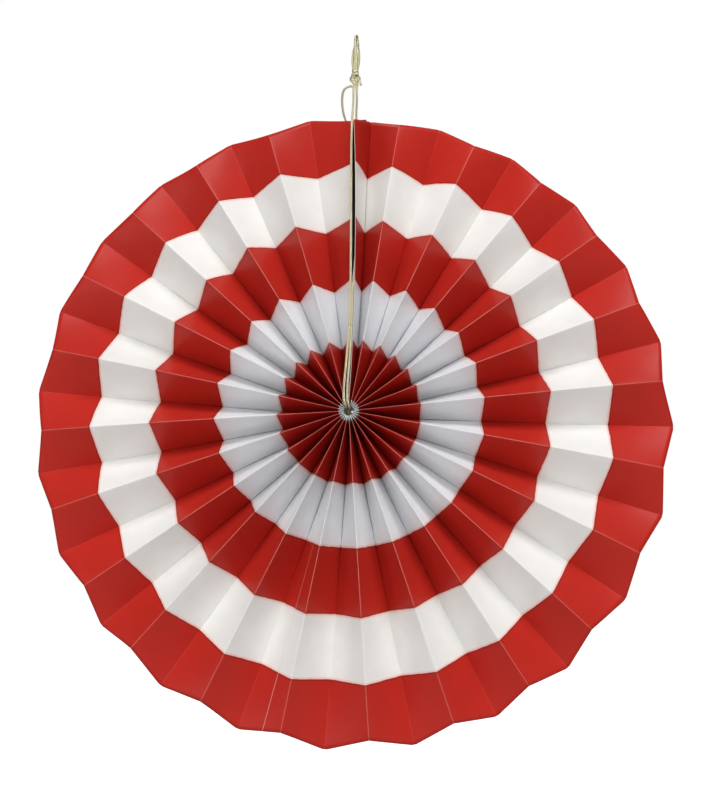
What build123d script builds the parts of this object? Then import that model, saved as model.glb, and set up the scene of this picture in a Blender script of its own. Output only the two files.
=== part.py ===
from build123d import *
import math
import os

os.makedirs("parts", exist_ok=True)

# Paper fan rosette: one pleated paper strip closed into a disc and hung on a doubled cord.
# Millimetres. The hub is the origin, the front folds face -Y and the hanging loop is up, +Z.

# The pleated disc
rim_radius = 150.0
edge_notch = 6.2
bay_count = 24
rim_pleat_depth = 8.0
paper_thickness = 0.2
hub_packing = 1.5

# The seam at the top, seen as angles clockwise from its left lip
seam_valley_angle = 3.3
narrow_bay_angle = 9.3
seam_hub_slots = 4
right_lip_share = 0.35
flap_reach = 0.75
glue_gap = 0.3
glue_from = 0.70
glue_to = 0.96

# The hanging cord, its knots and its loop
cord_diameter = 1.1
cord_clearance = 0.3
cord_bend_radius = 2.2
strand_shift = -0.6
knot_height = 158.5
knot_offset = 1.9
knot_length = 5.0
knot_entry = 3.0
knot_margin = 0.35
loop_height = 21.0
loop_leg_gap = 1.8
tail_reach = 6.0
tail_length = 40.0
stub_length = 4.0
stopper_overlap = 1.1
stopper_length = 4.5

# Values that follow from the sizes above
half_paper = paper_thickness / 2
fold_count = 2 * bay_count
regular_angle = (360.0 - narrow_bay_angle) / (fold_count - 2)
slot_count = fold_count - 1 + seam_hub_slots
slot_angle = 360.0 / slot_count
hub_pitch = hub_packing * paper_thickness
hub_radius = hub_pitch / (2 * math.sin(math.radians(slot_angle / 2)))
mountain_radius = rim_radius - edge_notch
mean_rim = (rim_radius + mountain_radius) / 2
rim_across = 2 * mean_rim * math.sin(math.radians(regular_angle / 2))
panel_width = math.hypot(rim_across, rim_pleat_depth)
first_angle = narrow_bay_angle - seam_valley_angle
first_across = 2 * mean_rim * math.sin(math.radians(first_angle / 2))
seam_across = 2 * mean_rim * math.sin(math.radians(seam_valley_angle / 2))

# Shares of the way from the hub to the rim at which the pleats are drawn
stations = (0.0, 0.05, 0.15, 0.3, 0.5, 0.7, 0.86, 1.0)

# Order of the six corners in the cut through one panel
front_tip, front_bevel, back_inside, back_tip, back_bevel, front_inside = range(6)


def between(start, end, share):
    return start + (end - start) * share


def rise(across):
    """Front to back height of a panel whose folds stand this far apart in plan."""
    return math.sqrt(max(panel_width**2 - across**2, (0.1 * panel_width) ** 2))


def regular_depth(share):
    return rise(between(hub_pitch, rim_across, share)) / 2


def is_mountain(fold):
    return fold % 2 == 1


def plan_point(radius, angle):
    return (radius * math.sin(math.radians(angle)), radius * math.cos(math.radians(angle)))


def fold_point(fold, share):
    """Plan place (x, z) of a fold; fold 0 is the seam valley and the last one the left lip."""
    rim_angle = seam_valley_angle if fold == 0 else narrow_bay_angle + (fold - 1) * regular_angle
    hub_angle = (seam_hub_slots / 2 + fold) * slot_angle
    hub_x, hub_z = plan_point(hub_radius, hub_angle)
    rim_x, rim_z = plan_point(mountain_radius if is_mountain(fold) else rim_radius, rim_angle)
    return (between(hub_x, rim_x, share), between(hub_z, rim_z, share))


def seam_valley_y(share):
    return rise(between(hub_pitch, first_across, share)) - regular_depth(share)


def fold_y(fold, share):
    if fold == 0:
        return seam_valley_y(share)
    return -regular_depth(share) if is_mountain(fold) else regular_depth(share)


def right_lip_point(share):
    """Plan place of the right lip. Its tip is cut as short as the other front folds."""
    last = fold_count - 1
    hub = [between(a, b, right_lip_share) for a, b in zip(fold_point(last, 0), fold_point(0, 0))]
    rim = [between(a, b, right_lip_share) for a, b in zip(fold_point(last, 1), fold_point(0, 1))]
    trim = mountain_radius / math.hypot(*rim)
    return tuple(between(a, trim * b, share) for a, b in zip(hub, rim))


def right_lip_y(share):
    hub_gap = seam_hub_slots * hub_pitch
    across = between(hub_gap, seam_across, share) * (1 - right_lip_share)
    return seam_valley_y(share) - rise(across)


def panel_corners(front, back, front_y, back_y):
    """Cut through one panel from its front fold to its back fold, as six points: the flat outside
    tip and its bevel at the front, the inside corner and tip at the back, the bevel there, and the
    inside corner at the front. The paper's thickness lies between them."""
    run = math.dist(front, back)
    lean = math.atan2(run, back_y - front_y)
    bevel = half_paper * (1 - math.sin(lean)) / math.cos(lean) / run
    inside = half_paper / math.sin(lean)
    outline = (
        (0, front_y - half_paper),
        (bevel, front_y - half_paper),
        (1, back_y - inside),
        (1, back_y + half_paper),
        (1 - bevel, back_y + half_paper),
        (0, front_y + inside),
    )
    return [(between(front[0], back[0], p), y, between(front[1], back[1], p)) for p, y in outline]


def flap_end(share):
    """Back edge of the glue flap, beside the right end panel: its plan point and y."""
    left = fold_point(fold_count - 1, share)
    valley = fold_point(0, share)
    run = math.dist(left, valley)
    lip_y = right_lip_y(share)
    panel_y = seam_valley_y(share) - lip_y
    panel_run = run * (1 - right_lip_share)
    aside = (paper_thickness + glue_gap) * math.hypot(panel_run, panel_y) / panel_y
    place = right_lip_share + (1 - right_lip_share) * flap_reach - aside / run
    point = tuple(between(p, q, place) for p, q in zip(left, valley))
    return (point, between(lip_y, seam_valley_y(share), flap_reach))


def strip_panels(share):
    """All panels of the strip in order, each as its six corners: end panel, pleats, glue flap."""
    last = fold_count - 1
    valley = fold_point(0, share)
    panels = [panel_corners(right_lip_point(share), valley, right_lip_y(share), seam_valley_y(share))]
    for fold in range(last):
        front = fold if is_mountain(fold) else fold + 1
        back = fold + 1 if is_mountain(fold) else fold
        places = (fold_point(front, share), fold_point(back, share))
        panels.append(panel_corners(*places, fold_y(front, share), fold_y(back, share)))
    end, end_y = flap_end(share)
    panels.append(panel_corners(fold_point(last, share), end, fold_y(last, share), end_y))
    # Neighbours share one inside corner at their common fold, the one further from the tip.
    for number in range(len(panels) - 1):
        corner = back_inside if number % 2 == 0 else front_inside
        pair = (panels[number][corner], panels[number + 1][corner])
        further = min if corner == back_inside else max
        shared = further(pair, key=lambda point: point[1])
        panels[number][corner] = shared
        panels[number + 1][corner] = shared
    return panels


def strip_ring(share):
    """Outline of the strip where it is cut across: along the front faces, round the flap, and back."""
    panels = strip_panels(share)
    front_side = [panels[0][front_tip]]
    back_side = [panels[0][front_inside]]
    for number, corners in enumerate(panels):
        if number % 2 == 0:
            front_side += [corners[front_bevel], corners[back_inside]]
            back_side += [corners[back_bevel], corners[back_tip]]
        else:
            front_side += [corners[front_bevel], corners[front_tip]]
            back_side += [corners[back_bevel], corners[front_inside]]
    return front_side + back_side[::-1]


def polygon(*points):
    return Face(Wire.make_polygon(points, close=True))


def ring_faces(inner, outer):
    """Flat facets between two outlines. Across a panel each pair of facets meets on the diagonal from
    the front fold further out to the back fold further in, the same on both sides of the paper."""
    facets = []
    count = len(inner)
    for start in range(count):
        end = (start + 1) % count
        if inner[start][1] < inner[end][1]:
            facets.append(polygon(inner[start], inner[end], outer[start]))
            facets.append(polygon(inner[end], outer[end], outer[start]))
        else:
            facets.append(polygon(inner[start], inner[end], outer[end]))
            facets.append(polygon(inner[start], outer[end], outer[start]))
    return facets


with BuildPart() as fan_sheet:
    rings = [strip_ring(share) for share in stations]
    facets = []
    for inner, outer in zip(rings, rings[1:]):
        facets += ring_faces(inner, outer)
    for share in (stations[0], stations[-1]):
        facets += [polygon(*corners) for corners in strip_panels(share)]
    add(Solid(Shell(facets)))
fan_sheet.part.label = "fan_sheet"
export_step(fan_sheet.part, "parts/fan_sheet.step")


# The glue line holds the flap to the right end panel, out of sight at the back of the seam.
def glue_ring(front_share, back_share):
    """Four corners of the glue, on the flap's and the end panel's faces. The two shares differ where
    the corners lie on the diagonal between two facets."""
    front_panels = strip_panels(front_share)
    back_panels = strip_panels(back_share)
    flap = (front_panels[-1][front_bevel], back_panels[-1][back_inside])
    panel = (front_panels[0][front_inside], back_panels[0][back_bevel])
    places = ((flap, glue_from), (flap, glue_to))
    places += ((panel, glue_to * flap_reach), (panel, glue_from * flap_reach))
    return [tuple(between(p, q, part) for p, q in zip(*line)) for line, part in places]


with BuildPart() as seam_glue:
    glued = stations[3:]
    rings = [glue_ring(glued[0], glued[0])]
    for inner, outer in zip(glued, glued[1:]):
        rings += [glue_ring(outer, inner), glue_ring(outer, outer)]
    facets = [polygon(*ring[:3]) for ring in (rings[0], rings[-1])]
    facets += [polygon(ring[0], *ring[2:]) for ring in (rings[0], rings[-1])]
    for inner, outer in zip(rings, rings[1:]):
        facets += ring_faces(inner, outer)
    add(Solid(Shell(facets)))
seam_glue.part.label = "seam_glue"
export_step(seam_glue.part, "parts/seam_glue.step")

# Places along the cord: it lies clear of the foremost fold and runs straight up to the knot.
cord_radius = cord_diameter / 2
strand_half = (cord_diameter + cord_clearance) / 2
hub_back = regular_depth(0) + half_paper
foremost = min([right_lip_y(share) for share in stations] + [-regular_depth(0)]) - half_paper
cord_y = foremost - cord_clearance - cord_radius
leg_half = (loop_leg_gap + cord_diameter) / 2
knot_radius = math.hypot(leg_half, strand_half) + cord_radius + knot_margin
knot_top = knot_height + knot_length


def soft_radii(points):
    """Bend radius at each inner corner of a slack run: as wide as the shorter neighbour run allows."""
    radii = []
    for before, corner, after in zip(points, points[1:], points[2:]):
        inward = (Vector(corner) - Vector(before)).normalized()
        onward = (Vector(after) - Vector(corner)).normalized()
        turn = math.acos(max(-1.0, min(1.0, inward.dot(onward))))
        shorter = min(math.dist(before, corner), math.dist(corner, after))
        radii.append(0.45 * shorter / math.tan(turn / 2))
    return radii


def strand_points(side):
    hub_x = strand_shift + side * strand_half
    knot_x = knot_offset + side * strand_half
    return [
        (hub_x, hub_back, 0),
        (hub_x, cord_y, 0),
        (knot_x, cord_y, knot_height - knot_entry),
        (knot_x, cord_y, knot_height),
    ]


def loop_points(side):
    loop_y = cord_y + side * strand_half
    crown = knot_top + loop_height - cord_radius
    return [
        (knot_offset - leg_half, loop_y, knot_top),
        (knot_offset - leg_half, loop_y, crown),
        (knot_offset + leg_half, loop_y, crown),
        (knot_offset + leg_half, loop_y, knot_top),
    ]


tail_start = (knot_offset - 0.9 * strand_half, cord_y + 2 * strand_half, knot_height)
tail_drop = (tail_start[0], tail_start[1], knot_height - knot_entry)
tail_out = (knot_offset - tail_reach, between(cord_y, 0, 0.65), between(knot_height, rim_radius, 0.6))
tail_over = (knot_offset - 0.9 * tail_reach, 1.0, between(knot_height, rim_radius, 1.2))
tail_spent = knot_entry + math.dist(tail_drop, tail_out) + math.dist(tail_out, tail_over)
tail_end = (knot_offset - 0.8 * tail_reach, 1.5, tail_over[2] - (tail_length - tail_spent))
tail_points = [tail_start, tail_drop, tail_out, tail_over, tail_end]
tail_radii = soft_radii(tail_points)

left_points = strand_points(-1)
left_radii = [cord_bend_radius, soft_radii(left_points)[1]]
with BuildPart() as cord_left:
    with BuildLine() as left_route:
        FilletPolyline(*left_points, radius=left_radii)
    with BuildSketch(Plane(origin=left_points[0], z_dir=left_route.line % 0)):
        Circle(cord_radius)
    sweep()
cord_left.part.label = "cord_left"
export_step(cord_left.part, "parts/cord_left.step")

right_points = strand_points(1)
right_radii = [cord_bend_radius, soft_radii(right_points)[1]]
with BuildPart() as cord_right:
    with BuildLine() as right_route:
        FilletPolyline(*right_points, radius=right_radii)
    with BuildSketch(Plane(origin=right_points[0], z_dir=right_route.line % 0)):
        Circle(cord_radius)
    sweep()
cord_right.part.label = "cord_right"
export_step(cord_right.part, "parts/cord_right.step")

loop_bend = 0.97 * leg_half
front_points = loop_points(-1)
with BuildPart() as loop_front:
    with BuildLine() as front_route:
        FilletPolyline(*front_points, radius=loop_bend)
    with BuildSketch(Plane(origin=front_points[0], z_dir=front_route.line % 0)):
        Circle(cord_radius)
    sweep()
loop_front.part.label = "loop_front"
export_step(loop_front.part, "parts/loop_front.step")

back_points = loop_points(1)
with BuildPart() as loop_back:
    with BuildLine() as back_route:
        FilletPolyline(*back_points, radius=loop_bend)
    with BuildSketch(Plane(origin=back_points[0], z_dir=back_route.line % 0)):
        Circle(cord_radius)
    sweep()
loop_back.part.label = "loop_back"
export_step(loop_back.part, "parts/loop_back.step")

with BuildPart() as long_tail:
    with BuildLine() as tail_route:
        FilletPolyline(*tail_points, radius=tail_radii)
    with BuildSketch(Plane(origin=tail_points[0], z_dir=(0, 0, -1))):
        Circle(cord_radius)
    sweep()
long_tail.part.label = "long_tail"
export_step(long_tail.part, "parts/long_tail.step")

# The overhand knot above the rim, with the short cut end standing out of it to the lower right.
stub_start = (knot_offset + 1.5 * strand_half, cord_y - 1.9 * strand_half, knot_height + 0.3 * knot_length)
stub_lean = Vector(0.62, -0.2, -0.75).normalized()
with BuildPart() as loop_knot:
    with BuildSketch(Plane(origin=(knot_offset, cord_y, knot_height))):
        Circle(knot_radius)
    extrude(amount=knot_length)
    chamfer(loop_knot.edges().filter_by(GeomType.CIRCLE), 0.85 * knot_margin)
    with BuildSketch(Plane(origin=stub_start, z_dir=stub_lean)):
        Circle(cord_radius)
    extrude(amount=stub_length)
loop_knot.part.label = "loop_knot"
export_step(loop_knot.part, "parts/loop_knot.step")

# The stopper knot at the back, wider than the hub eye.
stopper_radius = hub_radius + stopper_overlap
with BuildPart() as stopper_knot:
    with BuildSketch(Plane(origin=(0, hub_back, 0), x_dir=(1, 0, 0), z_dir=(0, 1, 0))):
        Circle(stopper_radius)
    extrude(amount=stopper_length)
    chamfer(stopper_knot.edges().group_by(Axis.Y)[-1], 0.4 * stopper_radius)
stopper_knot.part.label = "stopper_knot"
export_step(stopper_knot.part, "parts/stopper_knot.step")

flat_length = (fold_count + flap_reach) * panel_width
flat_width = rim_radius - hub_radius
print("panel width", round(panel_width, 2), "flat sheet", round(flat_length), "x", round(flat_width, 1))
print("hub eye radius", round(hub_radius, 3), "knot radius", round(knot_radius, 3))
print("cord y", round(cord_y, 3))
print("strand bends", [round(radius, 2) for radius in left_radii], "loop bend", round(loop_bend, 2))
print("tail bends", [round(radius, 2) for radius in tail_radii])
print("strand points", [[round(value, 3) for value in point] for point in left_points + right_points])
print("loop points", [[round(value, 3) for value in point] for point in front_points + back_points])
print("tail points", [[round(value, 3) for value in point] for point in tail_points])
for name, route, piece in (
    ("left strand", left_route, cord_left),
    ("right strand", right_route, cord_right),
    ("front loop", front_route, loop_front),
    ("back loop", back_route, loop_back),
    ("tail", tail_route, long_tail),
):
    length = sum(edge.length for edge in route.edges())
    share = piece.part.volume / (math.pi * cord_radius**2 * length)
    print(name, "length", round(length, 1), "volume over section times length", round(share, 3))
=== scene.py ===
"""Paper fan rosette: a pleated, printed paper disc hung on a doubled metallic cord.

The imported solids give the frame. Each operator makes one piece, or one group of like pieces,
in metres: hub at the origin, front folds towards -Y, hanging loop towards +Z.
"""

import math

import bpy
from bpy.props import FloatProperty, FloatVectorProperty, IntProperty, PointerProperty
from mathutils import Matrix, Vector


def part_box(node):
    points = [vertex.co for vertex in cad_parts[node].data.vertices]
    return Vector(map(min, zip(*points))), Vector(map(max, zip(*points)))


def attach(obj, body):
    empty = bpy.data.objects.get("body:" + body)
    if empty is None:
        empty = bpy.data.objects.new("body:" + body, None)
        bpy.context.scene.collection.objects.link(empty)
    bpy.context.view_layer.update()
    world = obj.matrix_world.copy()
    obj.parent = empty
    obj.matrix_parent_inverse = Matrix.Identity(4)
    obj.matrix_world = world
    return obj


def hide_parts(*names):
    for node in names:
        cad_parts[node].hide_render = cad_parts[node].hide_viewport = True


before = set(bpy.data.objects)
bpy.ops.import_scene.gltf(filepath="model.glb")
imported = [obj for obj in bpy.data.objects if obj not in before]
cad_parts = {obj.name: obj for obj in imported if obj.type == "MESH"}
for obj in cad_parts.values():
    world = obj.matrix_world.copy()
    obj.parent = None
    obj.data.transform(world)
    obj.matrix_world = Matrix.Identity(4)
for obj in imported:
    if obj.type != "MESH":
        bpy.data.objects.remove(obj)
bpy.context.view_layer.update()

bl_info = {
    "name": "Paper Fan Rosette",
    "version": (1, 0, 0),
    "blender": (4, 5, 0),
    "location": "View3D > Sidebar > Rosette",
    "description": "Makes a pleated paper fan rosette, its hanging cord and a plain studio",
    "category": "Object",
}

STOPPER_LOW, STOPPER_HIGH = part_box("stopper_knot")
GLUE_LOW, GLUE_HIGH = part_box("seam_glue")
MILLIMETRE = 0.001

# How far each front fold strays at the rim from even spacing, in degrees, clockwise from the seam.
FOLD_WANDER = (
    0.0, 0.0, -0.5, -1.0, -1.2, -1.3, -0.7, -0.1, 0.6, 0.1, -0.6, -0.9,
    -0.7, -0.9, -0.5, -1.6, -1.6, -2.0, -1.8, -1.8, -1.6, -1.4, -1.2, 0.0,
)

# How far the rim strays from a true circle in each bay, in millimetres, clockwise from the seam.
RIM_STRAY = (
    0.3, -0.2, 0.1, 0.3, 0.5, 0.6, 0.4, 0.5, 0.3, 0.3, 0.3, 0.6,
    0.6, 0.5, 0.4, 0.0, 0.7, 0.9, 1.0, 1.6, 1.2, 0.3, 0.0, 0.8,
)

# The back fold in the seam and the first front fold after it, in degrees clockwise from the left lip.
SEAM_VALLEY_ANGLE = 3.3
NARROW_BAY_ANGLE = 9.3
# Panels of room that the seam takes up round the hub eye.
SEAM_HUB_SLOTS = 4
# Where the right lip and the edge of the flap lie, as shares of the way from left lip to seam valley.
RIGHT_LIP_SHARE = 0.39
FLAP_HUB_SHARE = 0.42
FLAP_RIM_SHARE = 0.78
# How far back the edge of the flap lies, where 1 is a back fold, and the flap's width in panels.
FLAP_LEVEL = 0.5
# The part of the flap that carries glue, as shares of its steps across.
GLUE_FROM = 0.6
GLUE_TO = 0.9
# How far the seam valley runs past the rim radius, and how far the right lip stops short of a front fold.
SEAM_VALLEY_STRAY = 0.0019
RIGHT_LIP_TRIM = 0.0018
# How much of the sway is lost with each fold away from the seam.
SWAY_FADE = 0.25

# Route points of the cord runs, in metres. Each run starts where its solid does.
# The strands leave by the top of the hub eye. The left one lies along the left lip of the seam, and the
# right one drops into the open seam and comes out above the rim.
STRAND_ROUTES = {
    "cord_left": [
        (-0.0013, 0.010653, 0.0), (-0.0012, -0.00496, 0.0017), (-0.0014, -0.0119, 0.0019),
        (-0.0026, -0.0117, 0.0066), (-0.0008, -0.0120, 0.026), (0.0002, -0.0121, 0.044),
        (0.0006, -0.0119, 0.066), (0.0004, -0.011457, 0.105), (0.0003, -0.011557, 0.136),
        (0.0010, -0.011557, 0.1480), (0.0012, -0.011557, 0.1530), (0.0012, -0.011557, 0.1585),
    ],
    "cord_right": [
        (0.0001, 0.010653, 0.0), (0.0002, -0.00496, 0.0017), (0.0000, -0.0119, 0.0019),
        (-0.0009, -0.0117, 0.0066), (0.0006, -0.0112, 0.028), (0.0010, -0.0108, 0.042),
        (0.0013, -0.0106, 0.054), (0.0017, -0.0095, 0.062), (0.0021, -0.0075, 0.069),
        (0.0026, -0.0050, 0.0775), (0.0029, -0.0045, 0.100), (0.0030, -0.0045, 0.120),
        (0.0029, -0.0050, 0.136), (0.0023, -0.0068, 0.1455), (0.0029, -0.0108, 0.1525),
        (0.0027, -0.011557, 0.1560), (0.0026, -0.011557, 0.1585),
    ],
}
LOOP_ROUTES = {
    "loop_front": [
        (0.00045, -0.012257, 0.1635), (0.00140, -0.0122, 0.1668), (0.00158, -0.01226, 0.1722),
        (0.00190, -0.0138, 0.1790), (0.00204, -0.01415, 0.18425), (0.00316, -0.01100, 0.18425),
        (0.00300, -0.0112, 0.1790), (0.00262, -0.01226, 0.1722), (0.00240, -0.0122, 0.1668),
        (0.00335, -0.012257, 0.1635),
    ],
    "loop_back": [
        (0.00045, -0.010857, 0.1635), (0.00130, -0.0110, 0.1668), (0.00048, -0.01086, 0.1705),
        (0.00068, -0.01090, 0.1765), (0.00190, -0.01170, 0.1800), (0.00198, -0.01192, 0.18330),
        (0.00312, -0.00878, 0.18330), (0.00322, -0.00900, 0.1800), (0.00374, -0.01060, 0.1765),
        (0.00362, -0.01086, 0.1705), (0.00250, -0.0110, 0.1668), (0.00335, -0.010857, 0.1635),
    ],
}
TAIL_ROUTE = [
    (0.00127, -0.010157, 0.1585), (0.0003, -0.0101, 0.1600), (-0.0048, -0.0076, 0.1592),
    (-0.0047, -0.0015, 0.1497), (-0.0014, 0.0010, 0.1440), (-0.0026, 0.0015, 0.1287),
]
# Distance between the points of a path that add_run works out along each run; the path is not used further.
PATH_STEP = 0.0006

# The middle of the knot above the rim, and its half width and half depth.
KNOT_MIDDLE = Vector((0.0019, -0.011557, 0.1617))
KNOT_HALF_WIDTH = 0.0024
KNOT_HALF_DEPTH = 0.0015
# How far the two strands inside the knot stand to either side of its middle.
KNOT_STRAND_SHIFT = 0.0007

# Place and size of each soft light, all aimed at the hub, and the setting that holds its power.
SOFT_LIGHTS = {
    "key_light": ((0.38, -1.32, 1.59), (1.2, 0.9), "key_power"),
    "front_light": ((0.0, -2.0, 0.1), (1.6, 1.6), "front_power"),
    "side_light": ((-1.15, -0.85, -0.25), (0.35, 0.9), "side_power"),
    "back_light": ((-0.4, 1.3, 1.6), (1.4, 1.2), "back_power"),
}

# The camera's place, and its turns about X, Y and Z in degrees.
CAMERA_PLACE = (0.01923, -0.37227, -0.05382)
CAMERA_TURNS = (99.168, -0.384, 2.378)


class RosetteSheetSettings(bpy.types.PropertyGroup):
    """Sizes and inks of the pleated paper disc."""

    rim_radius: FloatProperty(
        name="Rim Radius", description="Where the back folds end", default=0.150, unit="LENGTH")
    edge_notch: FloatProperty(
        name="Edge Notch", description="How much shorter the front folds are",
        default=0.0062, unit="LENGTH")
    bays: IntProperty(name="Bays", description="Front folds round the disc", default=24, min=8)
    rim_depth: FloatProperty(
        name="Rim Pleat Depth", description="Front to back at the rim", default=0.008, unit="LENGTH")
    hub_radius: FloatProperty(
        name="Hub Eye Radius", description="Inner edge of the strip", default=0.002437, unit="LENGTH")
    hub_pitch: FloatProperty(
        name="Hub Pitch", description="Room for one panel at the hub", default=0.0003, unit="LENGTH")
    paper: FloatProperty(
        name="Paper Thickness", description="Thickness of the sheet", default=0.0002, unit="LENGTH")
    steps_across: IntProperty(
        name="Steps Across", description="Divisions across a panel", default=10, min=2)
    steps_along: IntProperty(
        name="Steps Along", description="Divisions from hub to rim", default=72, min=8)
    bow: FloatProperty(
        name="Panel Bow", description="How far a panel bellies", default=0.00045, unit="LENGTH")
    seam_sway: FloatProperty(
        name="Seam Sway", description="How far the seam bows to the right",
        default=0.0010, unit="LENGTH")
    lip_curl: FloatProperty(
        name="Lip Curl", description="How far the right lip's tip curls over the seam",
        default=0.0020, unit="LENGTH")
    corner_cut: FloatProperty(
        name="Corner Cut", description="Share of its length that a back fold loses at the rim",
        default=0.002, subtype="FACTOR")
    crease_pull: FloatProperty(
        name="Crease Pull", description="How far a crease is drawn back from a sharp fold",
        default=0.0001, unit="LENGTH")
    seed: IntProperty(name="Seed", description="Seed of the panels' uneven shapes", default=11)
    red: FloatVectorProperty(
        name="Red Ink", description="Colour of the red bands",
        default=(0.465, 0.022, 0.014), subtype="COLOR", size=3, min=0, max=1)
    # The slight blue of the inner white and the cream of the outer white are painted tones of shade: the
    # bluish shade deep in the pleats near the hub and the warm shade on the outer band.
    white: FloatVectorProperty(
        name="Paper White", description="Colour of the inner white band",
        default=(0.80, 0.81, 0.828), subtype="COLOR", size=3, min=0, max=1)
    cream: FloatVectorProperty(
        name="Paper Cream", description="Colour of the outer white band",
        default=(0.80, 0.79, 0.765), subtype="COLOR", size=3, min=0, max=1)
    # Painted shade: this near-black colour stands for the shadow inside the open seam and is painted on the
    # flap's front face.
    flap: FloatVectorProperty(
        name="Seam Flap", description="Colour inside the open seam",
        default=(0.012, 0.010, 0.007), subtype="COLOR", size=3, min=0, max=1)
    worn_red: FloatVectorProperty(
        name="Worn Red", description="Colour of the red bands along worn folds",
        default=(0.78, 0.36, 0.31), subtype="COLOR", size=3, min=0, max=1)
    worn_white: FloatVectorProperty(
        name="Worn White", description="Colour of the white bands along worn folds",
        default=(0.62, 0.56, 0.53), subtype="COLOR", size=3, min=0, max=1)
    border: FloatVectorProperty(
        name="Band Border", description="Colour of the pale line where a white band ends",
        default=(0.88, 0.56, 0.50), subtype="COLOR", size=3, min=0, max=1)
    overprint: FloatVectorProperty(
        name="Overprint", description="Colour of the dark line where a red band ends",
        default=(0.20, 0.012, 0.008), subtype="COLOR", size=3, min=0, max=1)
    lap_line: FloatVectorProperty(
        name="Lap Line", description="Colour of the edge where two sheets overlap",
        default=(0.80, 0.52, 0.47), subtype="COLOR", size=3, min=0, max=1)
    band_1: FloatProperty(
        name="Centre Edge", description="Radius where the centre red ends",
        default=0.0330, unit="LENGTH")
    band_2: FloatProperty(
        name="Inner White Edge", description="Radius where the inner white ends",
        default=0.0621, unit="LENGTH")
    band_3: FloatProperty(
        name="Middle Red Edge", description="Radius where the middle red ends",
        default=0.0923, unit="LENGTH")
    band_4: FloatProperty(
        name="Outer White Edge", description="Radius where the outer white ends",
        default=0.1209, unit="LENGTH")
    lap_place: FloatProperty(
        name="Lap Place", description="Where two sheets overlap, in panels along the strip",
        default=26.42)
    margin: FloatProperty(
        name="Bare Margin", description="Radius of the unprinted paper round the hub eye",
        default=0.0048, unit="LENGTH")


class RosetteCordSettings(bpy.types.PropertyGroup):
    """Sizes and colours of the hanging cord."""

    diameter: FloatProperty(
        name="Cord Diameter", description="Across all plies", default=0.0011, unit="LENGTH")
    lay_length: FloatProperty(
        name="Lay Length", description="Length of one full twist of the plies",
        default=0.0045, unit="LENGTH")
    gold: FloatVectorProperty(
        name="Thread Gold", description="Colour of the metallic thread",
        default=(0.98, 0.92, 0.65), subtype="COLOR", size=3, min=0, max=1)
    # Partly painted shade: the core's colour, darkened to stand also for the shade in the grooves between
    # the foil turns.
    shade: FloatVectorProperty(
        name="Thread Shade", description="Colour between the foil turns",
        default=(0.16, 0.135, 0.055), subtype="COLOR", size=3, min=0, max=1)


class RosetteStageSettings(bpy.types.PropertyGroup):
    """Camera and studio light."""

    lens: FloatProperty(
        name="Lens", description="Focal length in millimetres",
        default=24.155, min=1, unit="CAMERA")
    film_height: FloatProperty(
        name="Film Height", description="Height of the camera's frame in millimetres",
        default=24.0, min=1, unit="CAMERA")
    floor_drop: FloatProperty(
        name="Floor Drop", description="Floor below the hub", default=0.36, unit="LENGTH")
    floor_reach: FloatProperty(
        name="Floor Reach", description="From the middle of the floor to its sides",
        default=6.0, unit="LENGTH")
    key_power: FloatProperty(
        name="Key Power", description="Power of the light above", default=31.0, subtype="POWER")
    front_power: FloatProperty(
        name="Front Power", description="Power of the light behind the camera",
        default=23.5, subtype="POWER")
    side_power: FloatProperty(
        name="Side Power", description="Power of the light to the left", default=3.4, subtype="POWER")
    back_power: FloatProperty(
        name="Back Power", description="Power of the light behind the disc",
        default=36.0, subtype="POWER")


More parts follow.
